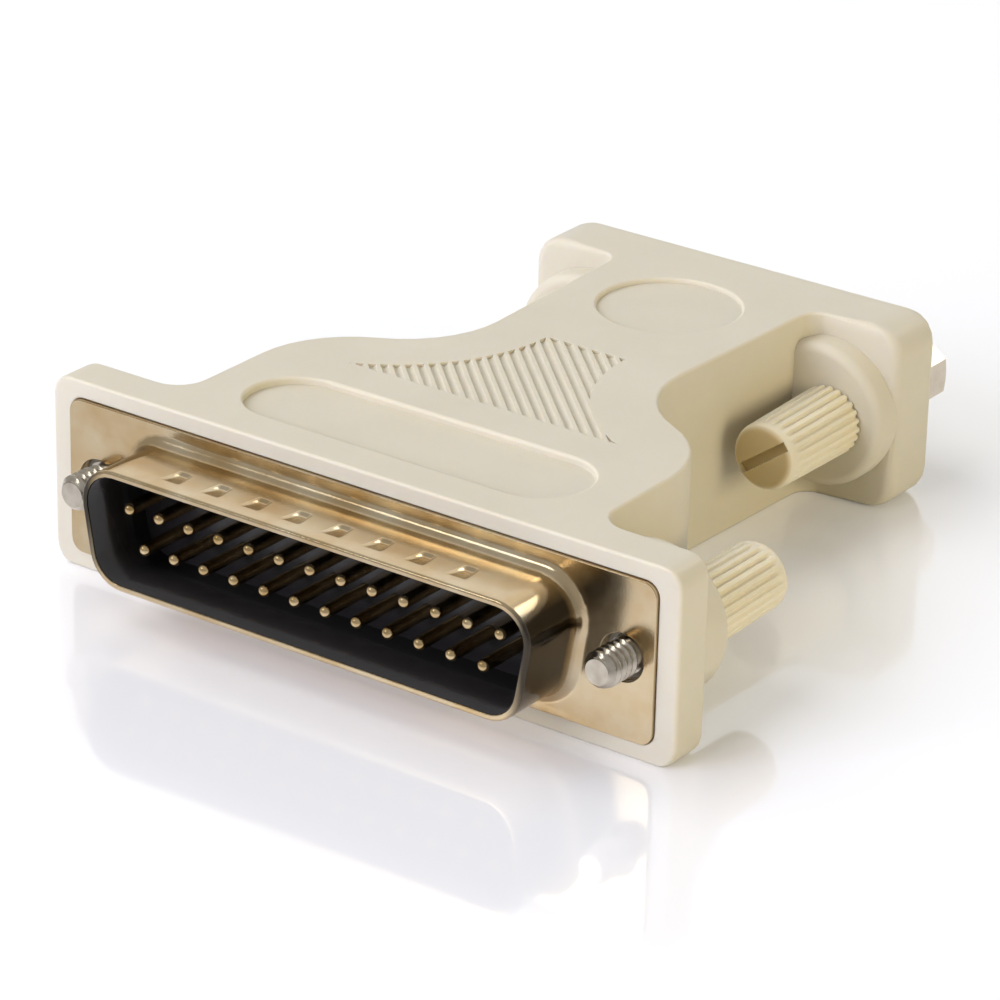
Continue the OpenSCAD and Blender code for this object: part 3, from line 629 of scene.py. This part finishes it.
def wedge_faces(bm):
    """Faces below the collar's flat sides, within the row of dimples."""
    sides = [f for f in bm.faces if abs(f.normal.z) > level_face]
    corners = [v.co - plug_middle for f in sides for v in f.verts]
    top = max(abs(p.z) for p in corners if dimple_front_y < p.y < dimple_back_y + WELD)
    wedges = []
    for face in bm.faces:
        at = face.calc_center_median() - plug_middle
        in_row = abs(at.x) < dimple_row_half and dimple_front_y - WELD < at.y < dimple_back_y + WELD
        if in_row and top - dimple_depth - WELD < abs(at.z) < top - WELD:
            wedges.append(face)
    return wedges


print("dimples lie within", dimple_row_half / MM, "mm of the middle")

# %% Draw soft dimples in their place
outline_step = 0.1 * MM
dimple_rings = 10
lowest_at = 0.3


def outline(edges):
    """Corners, in order, of the closed outline that the first edge is on."""
    edge = edges[0]
    ring = [edge.verts[0]]
    vert = edge.verts[1]
    while vert is not ring[0]:
        ring.append(vert)
        edge = next(e for e in vert.link_edges if e.is_boundary and e is not edge)
        vert = edge.other_vert(vert)
    return ring


def fill_dimple(bm, ring):
    middle_x = (min(v.co.x for v in ring) + max(v.co.x for v in ring)) / 2
    middle_y = plug_middle.y + dimple_back_y - lowest_at * dimple_len
    upward = 1 if ring[0].co.z > plug_middle.z else -1
    rings = [ring]
    for k in range(1, dimple_rings):
        share = 1 - k / dimple_rings
        points = []
        for v in ring:
            x = middle_x + (v.co.x - middle_x) * share
            y = middle_y + (v.co.y - middle_y) * share
            depth = depth_at(x - middle_x, y - plug_middle.y)
            points.append(bm.verts.new((x, y, v.co.z - upward * depth)))
        rings.append(points)
    deepest = depth_at(0, middle_y - plug_middle.y)
    lowest = bm.verts.new((middle_x, middle_y, ring[0].co.z - upward * deepest))
    for i in range(len(ring)):
        after = (i + 1) % len(ring)
        for outer, inner in zip(rings, rings[1:]):
            bm.faces.new((outer[i], outer[after], inner[after], inner[i]))
        bm.faces.new((rings[-1][i], rings[-1][after], lowest))


def press_dimples(bm):
    bmesh.ops.delete(bm, geom=wedge_faces(bm), context="FACES")
    for edge in [e for e in bm.edges if e.is_boundary]:
        parts = round(edge.calc_length() / outline_step)
        if parts > 1:
            bmesh.ops.subdivide_edges(bm, edges=[edge], cuts=parts - 1)
    left = [e for e in bm.edges if e.is_boundary]
    count = 0
    while left:
        ring = outline(left)
        left = [e for e in left if e.verts[0] not in ring]
        fill_dimple(bm, ring)
        count += 1
    bmesh.ops.recalc_face_normals(bm, faces=bm.faces)
    print(count, "dimples pressed")


shell_round_mm = 0.1
front_shell = soft_copy("plug_front_shell", shell_round_mm, reshape=press_dimples)
print("front shell", len(front_shell.data.polygons), "faces")

# %% [markdown]
# ## Shells, insulators, contacts and nuts
# These pieces are stamped, moulded or turned, and all of them have edges that are just broken, not sharp.
# The same soft copy does for all, with a round that fits the size of each.

# %% Soft copies of the smaller pieces
soft_edges_mm = {
    "plug_rear_shell": 0.04,
    "socket_front_shell": 0.04,
    "socket_rear_shell": 0.05,
    "plug_front_insulator": 0.05,
    "plug_rear_insulator": 0.05,
    "socket_front_insulator": 0.06,
    "socket_rear_insulator": 0.05,
    "plug_pins": 0.02,
    "socket_contacts": 0.02,
    "left_jack_nut": 0.08,
    "right_jack_nut": 0.08,
}
small_pieces = [soft_copy(node, round_mm) for node, round_mm in soft_edges_mm.items()]
print(len(small_pieces), "soft copies of smaller pieces")

# %% [markdown]
# ## Painted shade inside the plug
# Inside the plug's collar a thin black sheet stands in for the shade on the wall, nearly to the rim.
# It could be cut from the insulator, but the collar's own inner faces already have the right shape.
# So they are copied, and a thickness is given to them on the inner side.

# %% Find the collar's inner faces
collar_root_y = -0.5 * MM
along_collar = 0.5
black_low, black_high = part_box("plug_front_insulator")
straight_half = (black_high.x - black_low.x) / 2 - (black_high.z - black_low.z) / 2
shell = front_shell.data
inner_faces = []
for face in shell.polygons:
    out = face.center - plug_middle
    past_straight = out.x - max(-straight_half, min(straight_half, out.x))
    inward = face.normal.x * past_straight + face.normal.z * out.z < 0
    if inward and abs(face.normal.y) < along_collar and out.y < collar_root_y:
        inner_faces.append(face)
print(len(inner_faces), "inner faces on the collar")

# %% Black sheet of painted shade inside the collar
shade_sheet_t = 0.06 * MM
rim_left_bare = 0.12 * MM
mouth_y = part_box("plug_front_shell")[0].y
# Painted shade: a thin black sheet darkens the collar's inner wall.
shade_sheet_mesh = bpy.data.meshes.new("plug_collar_shade_sheet")
shade_sheet_mesh.from_pydata([v.co for v in shell.vertices], [], [f.vertices[:] for f in inner_faces])
bm = bmesh.new()
bm.from_mesh(shade_sheet_mesh)
bmesh.ops.delete(bm, geom=[v for v in bm.verts if not v.link_faces], context="VERTS")
for vert in bm.verts:
    vert.co.y = max(vert.co.y, mouth_y + rim_left_bare)
for face in bm.faces:
    face.smooth = True
bm.to_mesh(shade_sheet_mesh)
bm.free()
shade_sheet_mesh.materials.append(black_polyester)
collar_shade_sheet = bpy.data.objects.new("plug_collar_shade_sheet", shade_sheet_mesh)
scene.collection.objects.link(collar_shade_sheet)
wall = collar_shade_sheet.modifiers.new("wall", "SOLIDIFY")
wall.thickness = shade_sheet_t
wall.offset = 1.0
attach(collar_shade_sheet, "adapter")
print("collar_shade_sheet", shade_sheet_t / MM, "mm thick, from", rim_left_bare / MM, "mm behind the rim")

# %% [markdown]
# ## Wires
# Nine wires join the solder cups inside the body. They are plain round solids that nothing shows from
# outside, so they keep their CAD meshes and only get their insulation's material.

# %% Give the wires their colours
wires = [node for node, slot in slots.items() if slot in wire_colours]
for node in wires:
    surfaces = frame["nodes"][node].data.materials
    surfaces.clear()
    surfaces.append(finish_of(node))
print(len(wires), "wires keep their solids")

# %% [markdown]
# ## Threads
# The screws have the fine inch thread of such connectors, forty turns to the inch. A thread could be a
# swept profile, but a grid round the axis whose radius follows the turn is shorter and closes by itself.
# Behind the thread, a narrower neck keeps the thumbscrew captive in its plate.

# %% Skin over rings of points
def skin_over(name, rings):
    """A closed mesh over rings that all have the same number of points."""
    around = len(rings[0])
    points = [point for ring in rings for point in ring]
    faces = [tuple(range(around)), tuple(range(len(points) - around, len(points)))]
    for start in range(0, len(points) - around, around):
        for k in range(around):
            after = (k + 1) % around
            faces.append((start + k, start + after, start + around + after, start + around + k))
    mesh = bpy.data.meshes.new(name)
    mesh.from_pydata(points, [], faces)
    bm = bmesh.new()
    bm.from_mesh(mesh)
    bmesh.ops.recalc_face_normals(bm, faces=bm.faces)
    bm.to_mesh(mesh)
    bm.free()
    return mesh


def shade_round(mesh, edge_deg):
    """Smooth shading, apart from edges that are sharper than this angle."""
    for polygon in mesh.polygons:
        polygon.use_smooth = True
    mesh.set_sharp_from_angle(angle=math.radians(edge_deg))


thumbscrews = ("front_left", "front_right", "rear_left", "rear_right")
print("screws and knobs for", thumbscrews)

# %% Screws with rolled threads
pitch = 25.4 / 40 * MM
thread_depth = 0.36 * MM
crest_share = 0.16
tip_bevel = 0.45 * MM
neck_len = 0.6 * MM
thread_steps = 48
thread_row = 0.04 * MM
thread_edge_deg = 28


def thread_radius(s, turn, radius):
    """Radius of a thread at a distance from the tip and a share of a turn."""
    phase = (s / pitch - turn) % 1
    valley = clamp((abs(phase - 0.5) * 2 - crest_share) / (1 - 2 * crest_share))
    return min(radius - thread_depth + thread_depth * (1 - valley), radius - max(0.0, tip_bevel - s))


def screw_piece(name):
    node = name + "_screw"
    low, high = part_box(node)
    middle = (low + high) / 2
    radius = (high.x - low.x) / 2
    front = name.startswith("front")
    inward = 1 if front else -1
    tip = low.y if front else high.y
    face = abs(mounts["plug" if front else "socket"][1] - tip)
    core = radius - thread_depth
    # The last row of the thread stays at least half a row short of the neck.
    stations = [(i * thread_row, None) for i in range(int(face / thread_row - 0.5) + 1)]
    stations += [(face, core), (face + neck_len, core), (face + neck_len, radius), (high.y - low.y, radius)]
    rings = []
    for s, plain_radius in stations:
        ring = []
        for k in range(thread_steps):
            turn = k / thread_steps
            r = plain_radius or thread_radius(s, turn * inward, radius)
            a = 2 * math.pi * turn
            ring.append((middle.x + r * math.cos(a), tip + inward * s, middle.z + r * math.sin(a)))
        rings.append(ring)
    mesh = skin_over(node + "_threaded", rings)
    shade_round(mesh, thread_edge_deg)
    return stand_in(node, mesh)


screws = [screw_piece(name) for name in thumbscrews]
print([len(screw.data.polygons) for screw in screws], "faces on the screws")

# %% [markdown]
# ## Knobs
# A thumbscrew's knob is a moulded nylon cone with 24 flutes for the fingers and a slot for a driver.
# The flutes run at an even depth along the cone and die out before its rounded end.
# Cutting 24 grooves one by one would be slow, so a grid round the axis has the flutes in its radius.
# The slot is one straight cut, so a box and a Boolean modifier make it.

# %% Rings of a fluted knob
flutes = 24
steps_per_flute = 10
flute_share = 0.3
flute_depth = 0.24 * MM
fade_begins = 1.7 * MM
fade_ends = 0.7 * MM
end_narrower = 0.16 * MM
end_round = 0.7 * MM
side_rows = 40
round_rows = 6


def cone_radius(s, length, wide):
    return wide - end_narrower * s / length


def knob_side(length, wide):
    """Distance from the boss, radius and share of the flutes' depth, from the boss to the end."""
    straight = length - end_round
    side = []
    for i in range(side_rows + 1):
        s = i * straight / side_rows
        side.append((s, cone_radius(s, length, wide)))
    for i in range(1, round_rows + 1):
        a = math.radians(90 * i / round_rows)
        narrower = end_round * (1 - math.cos(a))
        side.append((straight + end_round * math.sin(a), cone_radius(straight, length, wide) - narrower))
    return [(s, r, clamp((length - s - fade_ends) / (fade_begins - fade_ends))) for s, r in side]


def fluted_ring(middle, y, radius, fluted, turn):
    around = flutes * steps_per_flute
    ring = []
    for k in range(around):
        off = (k % steps_per_flute) / steps_per_flute
        off = min(off, 1 - off) / flute_share
        r = radius - fluted * flute_depth * max(0.0, 1 - off * off)
        a = turn + 2 * math.pi * k / around
        ring.append((middle.x + r * math.cos(a), y, middle.z + r * math.sin(a)))
    return ring


print("flutes", flutes, "of", flute_depth / MM, "mm depth")

# %% Cut for the driver
slot_w = 0.8 * MM
slot_depth = 0.8 * MM
slot_short_of_rim = 0.2 * MM


def slot_cutter(place, turn, reach):
    """A box round the middle of a knob's end, turned with the slot."""
    mesh = bpy.data.meshes.new("slot_cutter")
    bm = bmesh.new()
    bmesh.ops.create_cube(bm, size=2)
    bmesh.ops.scale(bm, vec=(reach, slot_depth, slot_w / 2), verts=bm.verts)
    bmesh.ops.rotate(bm, cent=(0, 0, 0), matrix=Matrix.Rotation(-turn, 3, "Y"), verts=bm.verts)
    bmesh.ops.translate(bm, vec=place, verts=bm.verts)
    bm.to_mesh(mesh)
    bm.free()
    return mesh


def cut_away(name, blank_mesh, cutter_mesh):
    """A new mesh: the blank less the cutter."""
    blank = bpy.data.objects.new("blank", blank_mesh)
    cutter = bpy.data.objects.new("cutter", cutter_mesh)
    scene.collection.objects.link(blank)
    scene.collection.objects.link(cutter)
    cut = blank.modifiers.new("slot", "BOOLEAN")
    cut.operation = "DIFFERENCE"
    cut.solver = "EXACT"
    cut.object = cutter
    state = bpy.context.evaluated_depsgraph_get()
    mesh = bpy.data.meshes.new_from_object(blank.evaluated_get(state))
    mesh.name = name
    bpy.data.objects.remove(blank)
    bpy.data.objects.remove(cutter)
    return mesh


print("slot", slot_w / MM, "mm wide and", slot_depth / MM, "mm deep")

# %% Fluted knobs with driver slots
slot_turn_deg = {"front_left": -24, "front_right": 62, "rear_left": 15, "rear_right": 36}
knob_edge_deg = 40


def knob_piece(name):
    node = name + "_knob"
    low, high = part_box(node)
    screw_low, screw_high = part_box(name + "_screw")
    middle = (low + high) / 2
    front = name.startswith("front")
    outward = 1 if front else -1
    boss_y = low.y if front else high.y
    length = high.y - low.y
    corners = [v.co for v in frame["nodes"][node].data.vertices]
    wide = max(Vector((v.x - middle.x, v.z - middle.z)).length for v in corners)
    bore_radius = (screw_high.x - screw_low.x) / 2
    bore_end = abs((screw_high.y if front else screw_low.y) - boss_y)
    turn = math.radians(-outward * slot_turn_deg[name])

    stations = [(bore_end, bore_radius, 0), (0, bore_radius, 0)] + knob_side(length, wide)
    rings = [fluted_ring(middle, boss_y + outward * s, r, fluted, turn) for s, r, fluted in stations]
    blank = skin_over(node + "_blank", rings)
    end_middle = (middle.x, boss_y + outward * length, middle.z)
    cutter = slot_cutter(end_middle, turn, cone_radius(length, length, wide) - slot_short_of_rim)
    mesh = cut_away(node + "_fluted", blank, cutter)
    shade_round(mesh, knob_edge_deg)
    return stand_in(node, mesh)


knobs = [knob_piece(name) for name in thumbscrews]
print([len(knob.data.polygons) for knob in knobs], "faces on the knobs")
